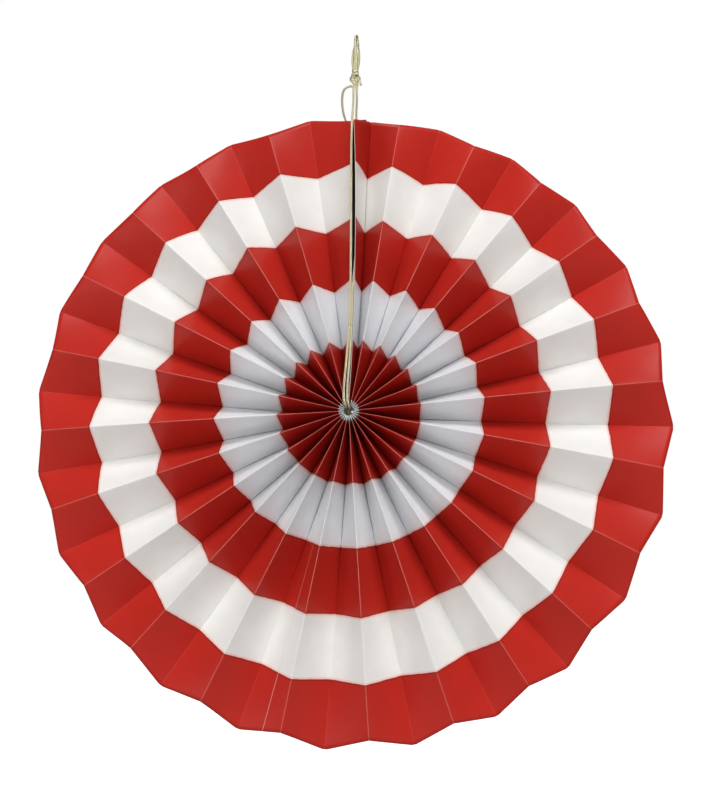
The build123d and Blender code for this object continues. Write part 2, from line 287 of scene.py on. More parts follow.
class TreeBuilder:
    """Adds nodes to a tree and joins them, taking sockets or plain values alike."""

    def __init__(self, tree):
        self.tree = tree
        self.count = 0

    def add(self, kind, **settings):
        columns, column_width, row_height = 14, 180, 220
        node = self.tree.nodes.new(kind)
        self.count += 1
        node.location = (column_width * (self.count % columns), -row_height * (self.count // columns))
        for key, value in settings.items():
            setattr(node, key, value)
        return node

    def put(self, socket, value):
        if isinstance(value, bpy.types.NodeSocket):
            self.tree.links.new(value, socket)
        else:
            socket.default_value = value

    def filled(self, kind, *values, **settings):
        """The first output of a node whose inputs take the values in order."""
        node = self.add(kind, **settings)
        for socket, value in zip(node.inputs, values):
            self.put(socket, value)
        return node.outputs[0]

    def math(self, operation, *values, clamp=False):
        return self.filled("ShaderNodeMath", *values, operation=operation, use_clamp=clamp)

    def vector(self, operation, *values):
        return self.filled("ShaderNodeVectorMath", *values, operation=operation)

    def joined(self, x, y, z):
        return self.filled("ShaderNodeCombineXYZ", x, y, z)

    def split(self, vector):
        return self.filled("ShaderNodeSeparateXYZ", vector).node.outputs

    def product(self, first, *others):
        for other in others:
            first = self.math("MULTIPLY", first, other)
        return first

    def rest(self, value):
        """What is left of 1 after the value."""
        return self.math("SUBTRACT", 1.0, value)

    def swing(self, value):
        """How far a noise value lies from its middle."""
        return self.math("SUBTRACT", value, 0.5)

    def scaled(self, vector, factor):
        node = self.add("ShaderNodeVectorMath", operation="SCALE")
        self.put(node.inputs[0], vector)
        self.put(node.inputs["Scale"], factor)
        return node.outputs[0]

    def blend(self, start, end, factor):
        return self.math("MULTIPLY_ADD", self.math("SUBTRACT", end, start), factor, start)

    def blend_vector(self, start, end, factor):
        return self.vector("ADD", start, self.scaled(self.vector("SUBTRACT", end, start), factor))

    def ranged(self, value, low, high, to_low=0.0, to_high=1.0, smooth="SMOOTHSTEP"):
        node = self.add("ShaderNodeMapRange", interpolation_type=smooth)
        names = ("Value", "From Min", "From Max", "To Min", "To Max")
        for name, entry in zip(names, (value, low, high, to_low, to_high)):
            self.put(node.inputs[name], entry)
        return node.outputs[0]

    def fade(self, value, full, none):
        """1 up to the first bound, falling to 0 at the second."""
        return self.ranged(value, full, none, 1.0, 0.0)

    def noise(self, where, scale, detail):
        node = self.add("ShaderNodeTexNoise")
        for name, value in (("Vector", where), ("Scale", scale), ("Detail", detail)):
            self.put(node.inputs[name], value)
        return node.outputs[0]

    def object_place(self):
        return self.add("ShaderNodeTexCoord").outputs["Object"]

    def layer(self, name):
        """A layer of the mesh that a material reads."""
        node = self.add("ShaderNodeAttribute", attribute_type="GEOMETRY", attribute_name=name)
        return node.outputs["Fac"]

    def grain(self, scale, mottle):
        """The outputs of the shared grain group with these inputs."""
        node = self.add("ShaderNodeGroup", node_tree=fibre_group())
        node.inputs["Scale"].default_value = scale
        node.inputs["Mottle"].default_value = mottle
        return node.outputs

    def colour(self, factor, first, second, blend="MIX"):
        mix = self.add("ShaderNodeMix", data_type="RGBA", blend_type=blend)
        self.put(mix.inputs["Factor"], factor)
        ends = [entry for entry in mix.inputs if entry.type == "RGBA"]
        for socket, value in zip(ends, (first, second)):
            self.put(socket, value if isinstance(value, bpy.types.NodeSocket) else (*value, 1.0))
        return [entry for entry in mix.outputs if entry.type == "RGBA"][0]

    def bump(self, height, strength, distance):
        node = self.add("ShaderNodeBump")
        for name, value in (("Height", height), ("Strength", strength), ("Distance", distance)):
            self.put(node.inputs[name], value)
        return node.outputs["Normal"]


def enabled(sockets, name):
    """The socket of that name that is in use for the node's data type."""
    return [entry for entry in sockets if entry.name == name and entry.enabled][0]


def linked(name, data):
    thing = bpy.data.objects.new(name, data)
    bpy.context.scene.collection.objects.link(thing)
    return thing


def new_material(name):
    """A material, the builder of its tree and its surface shader."""
    material = bpy.data.materials.new(name)
    material.use_nodes = True
    return material, TreeBuilder(material.node_tree), material.node_tree.nodes["Principled BSDF"]


def tube_faces(base, count, sides, closed=False):
    """Faces of a tube of rings of vertices, numbered from a base on, with end caps unless it is closed."""
    faces = []
    for number in range(count if closed else count - 1):
        ring = base + number * sides
        next_ring = base + (number + 1) % count * sides
        for corner in range(sides):
            other = (corner + 1) % sides
            faces.append((ring + corner, ring + other, next_ring + other, next_ring + corner))
    if not closed:
        end = base + (count - 1) * sides
        faces.append(tuple(range(base, base + sides))[::-1])
        faces.append(tuple(range(end, end + sides)))
    return faces


def declare(piece, node):
    """Put a piece on the one body, in the place of its solid."""
    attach(piece, "root")
    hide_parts(node)


# Paper

def polar(radius, angle):
    turn = math.radians(angle)
    return Vector((radius * math.sin(turn), 0.0, radius * math.cos(turn)))


def regular_angle(settings):
    """The angle at the rim between two folds outside the narrow bay."""
    return (360.0 - NARROW_BAY_ANGLE) / (2 * settings.bays - 2)


def panel_sizes(settings):
    """The width of a flat panel, and what it spans across at the rim once folded."""
    mean_rim = settings.rim_radius - settings.edge_notch / 2
    rim_across = 2 * mean_rim * math.sin(math.radians(regular_angle(settings) / 2))
    return math.hypot(rim_across, settings.rim_depth), rim_across


def fold_guide(settings):
    """One point per fold in strip order, with its hub place, rim place and sway.

    The Y of the rim place holds which way the fold lies, -1 to the front and 1 to the back. The Y of the
    hub place holds 1 where the fold keeps its full depth out to the rim, as those in the seam do. The X of
    the sway is how far the fold bows to the right on its way out, which only folds near the seam do, and
    its Y is how far the tip curls to the left, which only the right lip's does.
    """
    folds = 2 * settings.bays
    slot = 360.0 / (folds - 1 + SEAM_HUB_SLOTS)
    regular = regular_angle(settings)
    front_tip = settings.rim_radius - settings.edge_notch

    def mountain_angle(number):
        wander = FOLD_WANDER[number % len(FOLD_WANDER)]
        return NARROW_BAY_ANGLE + 2 * number * regular + wander

    places = []
    for fold in range(folds):
        hub = polar(settings.hub_radius, (SEAM_HUB_SLOTS / 2 + fold) * slot)
        bay = fold // 2
        stray = RIM_STRAY[bay % len(RIM_STRAY)] * MILLIMETRE
        tip = settings.rim_radius
        if fold == 0:
            angle, stray = SEAM_VALLEY_ANGLE, SEAM_VALLEY_STRAY
        elif fold % 2 == 1:
            angle, tip = mountain_angle(bay), front_tip
        else:
            angle = (mountain_angle(bay - 1) + mountain_angle(bay)) / 2
        places.append((hub, polar(tip + stray, angle)))
    left_hub, left_rim = places[-1]
    valley_hub, valley_rim = places[0]
    lip = left_rim.lerp(valley_rim, RIGHT_LIP_SHARE)
    lip *= (front_tip - RIGHT_LIP_TRIM) / lip.length
    flap_hub = left_hub.lerp(valley_hub, FLAP_HUB_SHARE)
    flap_rim = left_rim.lerp(valley_rim, FLAP_RIM_SHARE)
    rows = [(left_hub.lerp(valley_hub, RIGHT_LIP_SHARE), lip, -1.0, 1.0)]
    for fold, (hub, rim) in enumerate(places):
        rows.append((hub, rim, -1.0 if fold % 2 else 1.0, 1.0 if fold == 0 else 0.0))
    rows.append((flap_hub, flap_rim, FLAP_LEVEL, 1.0))
    mesh = bpy.data.meshes.new("fold_guide")
    mesh.from_pydata([rim for hub, rim, lead, keep in rows], [], [])
    for name in ("hub_place", "rim_place", "sway"):
        mesh.attributes.new(name, "FLOAT_VECTOR", "POINT")
    for index, (hub, rim, lead, keep) in enumerate(rows):
        from_seam = min(index, len(rows) - 1 - index)
        sway = settings.seam_sway * max(0.0, 1.0 - SWAY_FADE * max(0, from_seam - 1))
        curl = settings.lip_curl if index == 0 else 0.0
        mesh.attributes["hub_place"].data[index].vector = (hub.x, keep, hub.z)
        mesh.attributes["rim_place"].data[index].vector = (rim.x, lead, rim.z)
        mesh.attributes["sway"].data[index].vector = (sway, curl, 0.0)
    return mesh


def pleat_tree():
    """Node tree that hangs a strip on the fold guide: panels, soft creases and slight bellies."""
    tree = bpy.data.node_groups.new("Pleated Strip", "GeometryNodeTree")
    inputs = {
        "NodeSocketGeometry": ("Fold Guide",),
        "NodeSocketFloat": ("Panel Width", "Hub Pitch", "Rim Across", "Bow", "Corner Cut", "Crease Pull"),
        "NodeSocketInt": ("Steps Across", "Steps Along", "Seed"),
        "NodeSocketMaterial": ("Paper",),
    }
    for kind, names in inputs.items():
        for name in names:
            tree.interface.new_socket(name, in_out="INPUT", socket_type=kind)
    tree.interface.new_socket("Sheet", in_out="OUTPUT", socket_type="NodeSocketGeometry")
    build = TreeBuilder(tree)
    given = build.add("NodeGroupInput").outputs

    # A flat strip, one unit to a panel, and where each of its points lies on it
    size = build.add("GeometryNodeAttributeDomainSize", component="MESH")
    build.put(size.inputs[0], given["Fold Guide"])
    panels = build.math("SUBTRACT", size.outputs["Point Count"], 1.0)
    grid = build.add("GeometryNodeMeshGrid")
    build.put(grid.inputs["Size X"], panels)
    build.put(grid.inputs["Size Y"], 1.0)
    build.put(grid.inputs["Vertices X"], build.math("MULTIPLY_ADD", panels, given["Steps Across"], 1.0))
    build.put(grid.inputs["Vertices Y"], build.math("ADD", given["Steps Along"], 1.0))
    place = build.split(build.add("GeometryNodeInputPosition").outputs[0])
    along_strip = build.math("MULTIPLY_ADD", panels, 0.5, place["X"])
    share = build.math("ADD", place["Y"], 0.5)
    fold_margin, end_margin = 0.0005, 0.01
    last_panel = build.math("SUBTRACT", panels, end_margin)
    past_fold = build.math("ADD", along_strip, fold_margin)
    panel = build.math("FLOOR", build.math("MINIMUM", past_fold, last_panel))
    part = build.math("SUBTRACT", along_strip, panel, clamp=True)
    turn = build.ranged(part, 0.0, 1.0, smooth="SMOOTHERSTEP")

    # The folds on either side of the panel
    def sampled(name, index):
        named = build.add("GeometryNodeInputNamedAttribute", data_type="FLOAT_VECTOR")
        named.inputs["Name"].default_value = name
        sample = build.add("GeometryNodeSampleIndex", data_type="FLOAT_VECTOR", domain="POINT")
        build.put(sample.inputs["Geometry"], given["Fold Guide"])
        build.put(sample.inputs["Value"], named.outputs[0])
        build.put(sample.inputs["Index"], index)
        return sample.outputs[0]

    sides = (panel, build.math("ADD", panel, 1.0))
    hubs = [sampled("hub_place", index) for index in sides]
    rims = [sampled("rim_place", index) for index in sides]
    sways = [build.split(sampled("sway", index)) for index in sides]
    leads = [build.split(rim)["Y"] for rim in rims]
    keeps = [build.split(hub)["Y"] for hub in hubs]

    # How far out the point is, and how deep the pleat is there
    corner_start = 0.93
    backness = build.math("MULTIPLY_ADD", build.blend(*leads, turn), 0.5, 0.5)
    corner = build.product(build.ranged(backness, corner_start, 1.0), given["Corner Cut"])
    reach = build.product(share, build.rest(corner))
    across = build.blend(given["Hub Pitch"], given["Rim Across"], reach)

    def squared(value):
        return build.math("POWER", value, 2.0)

    def depth_at(spread):
        squares = build.math("SUBTRACT", squared(given["Panel Width"]), squared(spread))
        return build.product(build.math("SQRT", squares), 0.5)

    depth, full_depth = depth_at(across), depth_at(given["Hub Pitch"])

    # The sway is greatest a third of the way out, where reach times the square of its rest is 1 / 6.75
    sway_scale, curl_power, lip_power = 6.75, 6.0, 4.0
    inward = build.rest(reach)
    bowed = build.product(reach, sway_scale, build.product(inward, inward))
    lip_side = build.math("POWER", build.rest(turn), lip_power)
    curled = build.product(build.math("POWER", reach, curl_power), lip_side)
    points, lengths = [], []
    for hub, rim, lead, keep, sway in zip(hubs, rims, leads, keeps, sways):
        level = build.product(lead, build.blend(depth, full_depth, keep))
        flat = build.split(build.blend_vector(hub, rim, reach))
        aside = build.math("MULTIPLY_ADD", sway["X"], bowed, flat["X"])
        points.append(build.joined(aside, level, flat["Z"]))
        span = build.split(build.vector("SUBTRACT", rim, hub))
        lengths.append(build.math("SQRT", build.math("ADD", squared(span["X"]), squared(span["Z"]))))

    # Creases are drawn back a little, so that no fold is a knife edge
    crease_width = 0.0007
    crease = build.product(build.math("MINIMUM", turn, build.rest(turn)), given["Panel Width"])
    nearer = build.blend(*leads, build.math("GREATER_THAN", turn, 0.5))
    pull = build.product(build.fade(crease, 0.0, crease_width), nearer, given["Crease Pull"])
    curl = build.product(sways[0]["Y"], curled)
    folded = build.blend_vector(*points, turn)
    target = build.vector("SUBTRACT", folded, build.joined(curl, pull, 0.0))

    # Each panel bellies by chance, more towards the rim, with a slow wave along it
    wave_stretch, wave_scale, wave_detail, wave_height = 6.0, 0.9, 1.5, 2.4
    belly_start, belly_end, belly_scale = 0.1, 0.9, 4.0
    chance = build.add("FunctionNodeRandomValue", data_type="FLOAT")
    for name, value in (("Min", -1.0), ("Max", 1.0), ("ID", panel), ("Seed", given["Seed"])):
        build.put(enabled(chance.inputs, name), value)
    tint = enabled(chance.outputs, "Value")
    where = build.joined(along_strip, build.product(share, wave_stretch), 0.0)
    noise = build.noise(where, wave_scale, wave_detail)
    wave = build.math("ADD", tint, build.product(build.swing(noise), wave_height))
    belly = build.product(turn, build.rest(turn), belly_scale)
    bow = build.product(given["Bow"], build.ranged(share, belly_start, belly_end))
    lift = build.product(belly, wave, bow)

    # The strip keeps its layers, then takes its folded shape
    geometry = grid.outputs["Mesh"]
    stored = {
        "reach": build.product(reach, build.blend(*lengths, turn)),
        "crease": crease,
        "backness": backness,
        "tint": tint,
        "lift": lift,
        "strip": build.math("ADD", panel, turn),
    }
    for name, value in stored.items():
        keep = build.add("GeometryNodeStoreNamedAttribute", data_type="FLOAT", domain="POINT")
        build.put(keep.inputs["Geometry"], geometry)
        keep.inputs["Name"].default_value = name
        build.put(enabled(keep.inputs, "Value"), value)
        geometry = keep.outputs["Geometry"]
    lifted = build.add("GeometryNodeInputNamedAttribute", data_type="FLOAT")
    lifted.inputs["Name"].default_value = "lift"
    outward = build.scaled(build.add("GeometryNodeInputNormal").outputs[0], lifted.outputs[0])
    steps = (
        ("GeometryNodeSetPosition", "Position", target),
        ("GeometryNodeSetPosition", "Offset", outward),
        ("GeometryNodeSetShadeSmooth", "Shade Smooth", True),
        ("GeometryNodeRealizeInstances", None, None),
        ("GeometryNodeSetMaterial", "Material", given["Paper"]),
    )
    for kind, name, value in steps:
        step = build.add(kind)
        build.put(step.inputs["Geometry"], geometry)
        if name:
            build.put(step.inputs[name], value)
        geometry = step.outputs["Geometry"]
    build.put(build.add("NodeGroupOutput").inputs["Sheet"], geometry)
    return tree


def set_input(modifier, name, value):
    for item in modifier.node_group.interface.items_tree:
        if item.item_type == "SOCKET" and item.in_out == "INPUT" and item.name == name:
            modifier[item.identifier] = value
            return
    raise ValueError("the tree has no input named " + name)


def plain_mesh(thing):
    """Give the object its evaluated shape as a plain mesh, with no modifiers left on it."""
    graph = bpy.context.evaluated_depsgraph_get()
    shaped = thing.evaluated_get(graph)
    mesh = bpy.data.meshes.new_from_object(shaped, preserve_all_data_layers=True, depsgraph=graph)
    thing.modifiers.clear()
    old = thing.data
    thing.data = mesh
    if old.users == 0:
        bpy.data.meshes.remove(old)


def fibre_group():
    """Shader group: fine fibre as a height, and a mottle around 1, on object coordinates."""
    existing = bpy.data.node_groups.get("Fine Grain")
    if existing:
        return existing
    tree = bpy.data.node_groups.new("Fine Grain", "ShaderNodeTree")
    for name, default in (("Scale", 1500.0), ("Mottle", 0.05)):
        socket = tree.interface.new_socket(name, in_out="INPUT", socket_type="NodeSocketFloat")
        socket.default_value = default
    for name in ("Height", "Tone"):
        tree.interface.new_socket(name, in_out="OUTPUT", socket_type="NodeSocketFloat")
    broad_share, fine_detail, broad_detail, fine_weight = 0.04, 4.0, 3.0, 0.5
    build = TreeBuilder(tree)
    given = build.add("NodeGroupInput").outputs
    where = build.object_place()
    fine = build.noise(where, given["Scale"], fine_detail)
    broad = build.noise(where, build.product(given["Scale"], broad_share), broad_detail)
    swing = build.math("ADD", build.swing(broad), build.product(build.swing(fine), fine_weight))
    result = build.add("NodeGroupOutput")
    build.put(result.inputs["Height"], fine)
    build.put(
        result.inputs["Tone"],
        build.math("MULTIPLY_ADD", swing, build.product(given["Mottle"], 2.0), 1.0),
    )
    return tree


def printed_paper(settings, panel_width):
    """Coated paper printed in rings by distance from the hub, paler along the worn folds, with painted
    shade on the flap's front inside the seam.
    """
    material, build, paper = new_material("printed_coated_paper")
    grain = build.grain(scale=2600.0, mottle=0.05)
    wobble = build.noise(build.object_place(), scale=260.0, detail=2.0)
    strip = build.layer("strip")

    # Red bands, with a pale border and a dark overprinted line along each of their edges
    wobble_reach, soft_edge = 0.0005, 0.00022
    border_width, overprint_width = (0.0005, 0.0012), (0.0004, 0.0008)
    radius = build.math("ADD", build.layer("reach"), settings.hub_radius)
    radius = build.math("MULTIPLY_ADD", build.swing(wobble), wobble_reach, radius)
    inked = build.ranged(radius, settings.margin - soft_edge, settings.margin + soft_edge)
    border = overprint = 0.0
    bands = (
        (settings.band_1, "SUBTRACT"), (settings.band_2, "ADD"),
        (settings.band_3, "SUBTRACT"), (settings.band_4, "ADD"),
    )
    for band_edge, change in bands:
        step = build.ranged(radius, band_edge - soft_edge, band_edge + soft_edge)
        inked = build.math(change, inked, step, clamp=True)
        near = build.math("ABSOLUTE", build.math("SUBTRACT", radius, band_edge))
        border = build.math("MAXIMUM", border, build.fade(near, *border_width))
        overprint = build.math("MAXIMUM", overprint, build.fade(near, *overprint_width))

    # Wear, on front folds above all, less towards the rim and broken up by the wobble
    worn_width, front_side, back_wear = (0.00006, 0.00030), (0.4, 0.6), 0.25
    patch_range, patch_wear = (0.25, 0.7), 0.75
    wear_range, rim_wear = (0.030, 0.115), 0.4
    worn = build.product(
        build.fade(build.layer("crease"), *worn_width),
        build.ranged(build.layer("backness"), *front_side, 1.0, back_wear),
        build.ranged(wobble, *patch_range, patch_wear, 1.0),
        build.ranged(radius, *wear_range, 1.0, rim_wear),
    )

    # Colours of the bands, with their wear and the lines along their edges
    red_wear_range, red_wear = (0.010, 0.045), (0.42, 0.65)
    white_wear_range, white_wear = (0.006, 0.012), (0.0, 0.15)
    border_strength, overprint_strength = 0.85, 0.75
    red_worn = build.product(worn, build.ranged(radius, *red_wear_range, *red_wear))
    red = build.colour(red_worn, settings.red, settings.worn_red)
    red = build.colour(build.product(overprint, overprint_strength), red, settings.overprint)
    outer = build.ranged(radius, settings.band_2, settings.band_3)
    white_worn = build.product(worn, build.ranged(radius, *white_wear_range, *white_wear))
    # Blend from the inner to the outer white, whose tints are painted tones of shade.
    white = build.colour(outer, settings.white, settings.cream)
    white = build.colour(white_worn, white, settings.worn_white)
    white = build.colour(build.product(border, border_strength), white, settings.border)
    base = build.colour(inked, white, red)

    # The edge of the lap, and painted shade: the front of the flap inside the seam is painted near black to
    # stand for the shadow in the open seam
    lap_width, lap_strength, turn_edge = (0.00005, 0.0003), 0.45, 0.02
    lap = build.math("ABSOLUTE", build.math("SUBTRACT", strip, settings.lap_place))
    lap = build.fade(build.product(lap, panel_width), *lap_width)
    base = build.colour(build.product(lap, lap_strength), base, settings.lap_line)
    # Mask of the painted shade: the flap panel's face towards the front.
    facing = build.split(build.add("ShaderNodeTexCoord").outputs["Normal"])["Y"]
    last_fold = 2 * settings.bays
    flap = build.ranged(strip, last_fold - turn_edge, last_fold + turn_edge)
    flap = build.product(flap, build.fade(facing, -turn_edge, turn_edge))
    base = build.colour(flap, base, settings.flap)

    # Uneven tone and gloss
    tint_strength, grain_gloss, worn_gloss = 0.035, 0.12, 0.15
    white_roughness, red_roughness = 0.34, 0.42
    panel_tone = build.math("MULTIPLY_ADD", build.layer("tint"), tint_strength, 1.0)
    tone = build.product(grain["Tone"], panel_tone)
    shade = build.filled("ShaderNodeCombineColor", tone, tone, tone)
    gloss = build.blend(white_roughness, red_roughness, inked)
    gloss = build.math("MULTIPLY_ADD", build.swing(grain["Height"]), grain_gloss, gloss)
    build.put(paper.inputs["Base Color"], build.colour(1.0, base, shade, "MULTIPLY"))
    build.put(paper.inputs["Roughness"], build.math("MULTIPLY_ADD", worn, worn_gloss, gloss))
    paper.inputs["Specular IOR Level"].default_value = 0.16
    paper.inputs["Coat Weight"].default_value = 0.04
    paper.inputs["Coat Roughness"].default_value = 0.24
    build.put(paper.inputs["Normal"], build.bump(grain["Height"], strength=0.12, distance=0.00005))
    return material


def cut_edge(settings):
    """Bare fibres where the sheet was cut."""
    material, build, edge = new_material("cut_paper_edge")
    grain = build.grain(scale=6000.0, mottle=0.2)
    fibre_shade, tone_start = 0.7, 0.4
    shaded = [fibre_shade * part for part in settings.white]
    pale = build.math("SUBTRACT", grain["Tone"], tone_start, clamp=True)
    build.put(edge.inputs["Base Color"], build.colour(pale, shaded, settings.white))
    edge.inputs["Roughness"].default_value = 0.85
    return material


class ROSETTE_OT_pleated_sheet(bpy.types.Operator):
    """Fold the printed paper strip into its disc"""

    bl_idname = "rosette.pleated_sheet"
    bl_label = "Pleated Sheet"

    def execute(self, context):
        settings = context.scene.rosette_sheet
        panel_width, rim_across = panel_sizes(settings)
        sheet = linked("pleated_sheet", fold_guide(settings))
        strip = sheet.modifiers.new("Pleats", "NODES")
        strip.node_group = pleat_tree()
        inputs = {
            "Panel Width": panel_width,
            "Hub Pitch": settings.hub_pitch,
            "Rim Across": rim_across,
            "Bow": settings.bow,
            "Corner Cut": settings.corner_cut,
            "Crease Pull": settings.crease_pull,
            "Steps Across": settings.steps_across,
            "Steps Along": settings.steps_along,
            "Seed": settings.seed,
            "Paper": printed_paper(settings, panel_width),
        }
        for name, value in inputs.items():
            set_input(strip, name, value)
        plain_mesh(sheet)
        body = sheet.modifiers.new("Paper Thickness", "SOLIDIFY")
        body.thickness = settings.paper
        body.offset = 0.0
        sheet.data.materials.append(cut_edge(settings))
        body.material_offset_rim = 1
        plain_mesh(sheet)
        declare(sheet, "fan_sheet")
        return {"FINISHED"}


def glue_mesh(settings):
    """The dried glue between the flap and the end panel beside it, following the folded sheet."""
    points = bpy.data.objects["pleated_sheet"].data.vertices
    rows, steps = settings.steps_along + 1, settings.steps_across
    flap_start = 2 * settings.bays * steps
    other_face = (flap_start + steps + 1) * rows
    glued = range(flap_start + round(GLUE_FROM * steps), flap_start + round(GLUE_TO * steps) + 1)

    def middle(column, row):
        index = column * rows + row
        return (points[index].co + points[index + other_face].co) / 2

    def beside(place, row):
        """The point of the end panel that is as far back as the place."""
        panel = [middle(column, row) for column in range(steps + 1)]
        for before, after in zip(panel, panel[1:]):
            if after.y >= place.y:
                return before.lerp(after, (place.y - before.y) / (after.y - before.y))
        raise ValueError("the end panel ends in front of the flap")

    sections = []
    for row in range(rows):
        flap = [middle(column, row) for column in glued]
        if GLUE_LOW.z <= flap[-1].z <= GLUE_HIGH.z:
            sections.append([beside(place, row) for place in flap] + flap[::-1])
    mesh = bpy.data.meshes.new("seam_glue_line")
    vertices = [place for section in sections for place in section]
    mesh.from_pydata(vertices, [], tube_faces(0, len(sections), len(sections[0])))
    return mesh


class ROSETTE_OT_seam_glue(bpy.types.Operator):
    """Lay the dried glue between the flap and the end panel"""

    bl_idname = "rosette.seam_glue"
    bl_label = "Seam Glue"

    def execute(self, context):
        material, build, glue = new_material("dried_paper_glue")
        grain = build.grain(scale=900.0, mottle=0.18)
        dull, pale = (0.62, 0.58, 0.48), (0.84, 0.81, 0.72)
        roughness_range, least_roughness = 0.3, 0.35
        cloud = build.math("SUBTRACT", grain["Tone"], 0.5, clamp=True)
        build.put(glue.inputs["Base Color"], build.colour(cloud, dull, pale))
        build.put(
            glue.inputs["Roughness"],
            build.math("MULTIPLY_ADD", grain["Height"], roughness_range, least_roughness),
        )
        line = linked("seam_glue_line", glue_mesh(context.scene.rosette_sheet))
        line.data.materials.append(material)
        declare(line, "seam_glue")
        return {"FINISHED"}


# Cord

def metallic_thread(settings):
    """Twisted foil thread: bright turns of foil over a darker core, along the plies' own layers. The dark
    colour is partly the core's own and partly painted shade of the grooves between the turns.
    """
    existing = bpy.data.materials.get("gold_foil_thread")
    if existing:
        return existing
    material, build, thread = new_material("gold_foil_thread")
    grain = build.grain(scale=5200.0, mottle=0.5)
    turns_per_metre, foil_rise, foil_fall = 2600.0, (0.0, 0.25), (0.75, 1.0)
    least_gold, foil_gold = 0.25, 0.75
    least_metal, foil_metal = 0.55, 0.4
    least_roughness, grain_roughness = 0.22, 0.25
    winding = build.math("MULTIPLY_ADD", build.layer("along"), turns_per_metre, build.layer("around"))
    phase = build.math("FRACT", winding)
    foil = build.product(
        build.ranged(phase, *foil_rise),
        build.fade(phase, *foil_fall),
        build.math("MULTIPLY", grain["Tone"], 1.0, clamp=True),
    )
    # Between the foil turns the colour falls towards the dark one, which is the core's own colour and also
    # painted shade of the grooves.
    gilt = build.math("MULTIPLY_ADD", foil, foil_gold, least_gold)
    metal = build.math("MULTIPLY_ADD", foil, foil_metal, least_metal)
    rough = build.math("MULTIPLY_ADD", grain["Height"], grain_roughness, least_roughness)
    build.put(thread.inputs["Base Color"], build.colour(gilt, settings.shade, settings.gold))
    build.put(thread.inputs["Metallic"], metal)
    build.put(thread.inputs["Roughness"], rough)
    build.put(thread.inputs["Normal"], build.bump(foil, strength=0.4, distance=0.00006))
    return material


def route_line(name, points):
    """Points along a smooth spline whose control points are the route's points."""
    curve = bpy.data.curves.new(name + "_route", "CURVE")
    curve.dimensions = "3D"
    spline = curve.splines.new("NURBS")
    spline.points.add(len(points) - 1)
    for entry, point in zip(spline.points, points):
        entry.co = (*point, 1.0)
    spline.order_u = 3
    spline.use_endpoint_u = True
    spline.resolution_u = 24
    thing = linked(name + "_route", curve)
    graph = bpy.context.evaluated_depsgraph_get()
    mesh = bpy.data.meshes.new_from_object(thing.evaluated_get(graph), depsgraph=graph)
    line = [vertex.co.copy() for vertex in mesh.vertices]
    bpy.data.objects.remove(thing)
    bpy.data.curves.remove(curve)
    bpy.data.meshes.remove(mesh)
    return line


def evenly(line, step, closed=False):
    """The same line with points about a step apart, and its length."""
    fewest_steps = 4
    if closed:
        line = line + [line[0]]
    lengths = [0.0]
    for before, after in zip(line, line[1:]):
        lengths.append(lengths[-1] + (after - before).length)
    count = max(fewest_steps, round(lengths[-1] / step))
    spaced, piece = [], 0
    for number in range(count if closed else count + 1):
        goal = lengths[-1] * number / count
        while piece < len(lengths) - 2 and lengths[piece + 1] < goal:
            piece += 1
        span = lengths[piece + 1] - lengths[piece]
        share = (goal - lengths[piece]) / span if span > 0 else 0.0
        spaced.append(line[piece].lerp(line[piece + 1], share))
    return spaced, lengths[-1]


def carried_frames(points, closed):
    """Two directions square to the line at each point, carried along without twist, and its tangents."""
    count = len(points)
    tangents = []
    for number in range(count):
        before = points[number - 1] if number or closed else points[0]
        after = points[(number + 1) % count] if number + 1 < count or closed else points[-1]
        tangents.append((after - before).normalized())
    side = tangents[0].orthogonal().normalized()
    frames = []
    for number, tangent in enumerate(tangents):
        if number:
            side = tangents[number - 1].rotation_difference(tangent) @ side
        side = (side - tangent * side.dot(tangent)).normalized()
        frames.append((side, tangent.cross(side)))
    return frames, tangents


def twisted_plies(line, diameter, lay_length, closed=False):
    """Vertices, faces and layers of plies wound round a line."""
    plies, sides, steps_per_turn = 5, 6, 14
    ply_radius, ply_offset = 0.21 * diameter, 0.34 * diameter
    spaced, total = evenly(line, lay_length / steps_per_turn, closed)
    count = len(spaced)
    rings = count if closed else count - 1
    frames, tangents = carried_frames(spaced, closed)
    turns = total / lay_length
    if closed:
        last = tangents[-1].rotation_difference(tangents[0]) @ frames[-1][0]
        drift = math.atan2(last.dot(frames[0][1]), last.dot(frames[0][0]))
        turns = round(turns) - drift / math.tau
    vertices, faces, along, around = [], [], [], []
    for ply in range(plies):
        base = len(vertices)
        for number, (point, (u, v)) in enumerate(zip(spaced, frames)):
            angle = math.tau * (turns * number / rings + ply / plies)
            out = u * math.cos(angle) + v * math.sin(angle)
            over = u * -math.sin(angle) + v * math.cos(angle)
            for corner in range(sides):
                turn = math.tau * corner / sides
                outward = out * (ply_offset + ply_radius * math.cos(turn))
                vertices.append(point + outward + over * (ply_radius * math.sin(turn)))
                along.append(total * number / count)
                around.append(corner / sides)
        faces += tube_faces(base, count, sides, closed)
    return vertices, faces, along, around


def thread_object(name, bundles, material):
    """One mesh object from several bundles of plies."""
    vertices, faces, along, around = [], [], [], []
    for more_vertices, more_faces, more_along, more_around in bundles:
        base = len(vertices)
        vertices += more_vertices
        faces += [tuple(base + index for index in face) for face in more_faces]
        along += more_along
        around += more_around
    mesh = bpy.data.meshes.new(name)
    mesh.from_pydata(vertices, [], faces)
    for layer_name, values in (("along", along), ("around", around)):
        layer = mesh.attributes.new(layer_name, "FLOAT", "POINT")
        layer.data.foreach_set("value", values)
    mesh.shade_smooth()
    mesh.materials.append(material)
    return linked(name, mesh)


def add_run(node, points, settings):
    """A declared cord run along its route, standing for its solid."""
    name = node + "_twist"
    line = route_line(name, points)
    plies = twisted_plies(line, settings.diameter, settings.lay_length)
    piece = thread_object(name, [plies], metallic_thread(settings))
    spaced, total = evenly(line, PATH_STEP)
    declare(piece, node)


class ROSETTE_OT_cord_strands(bpy.types.Operator):
    """Run the two strands from the hub eye up the seam to the knot"""

    bl_idname = "rosette.cord_strands"
    bl_label = "Cord Strands"

    def execute(self, context):
        for node, points in STRAND_ROUTES.items():
            add_run(node, points, context.scene.rosette_cord)
        return {"FINISHED"}


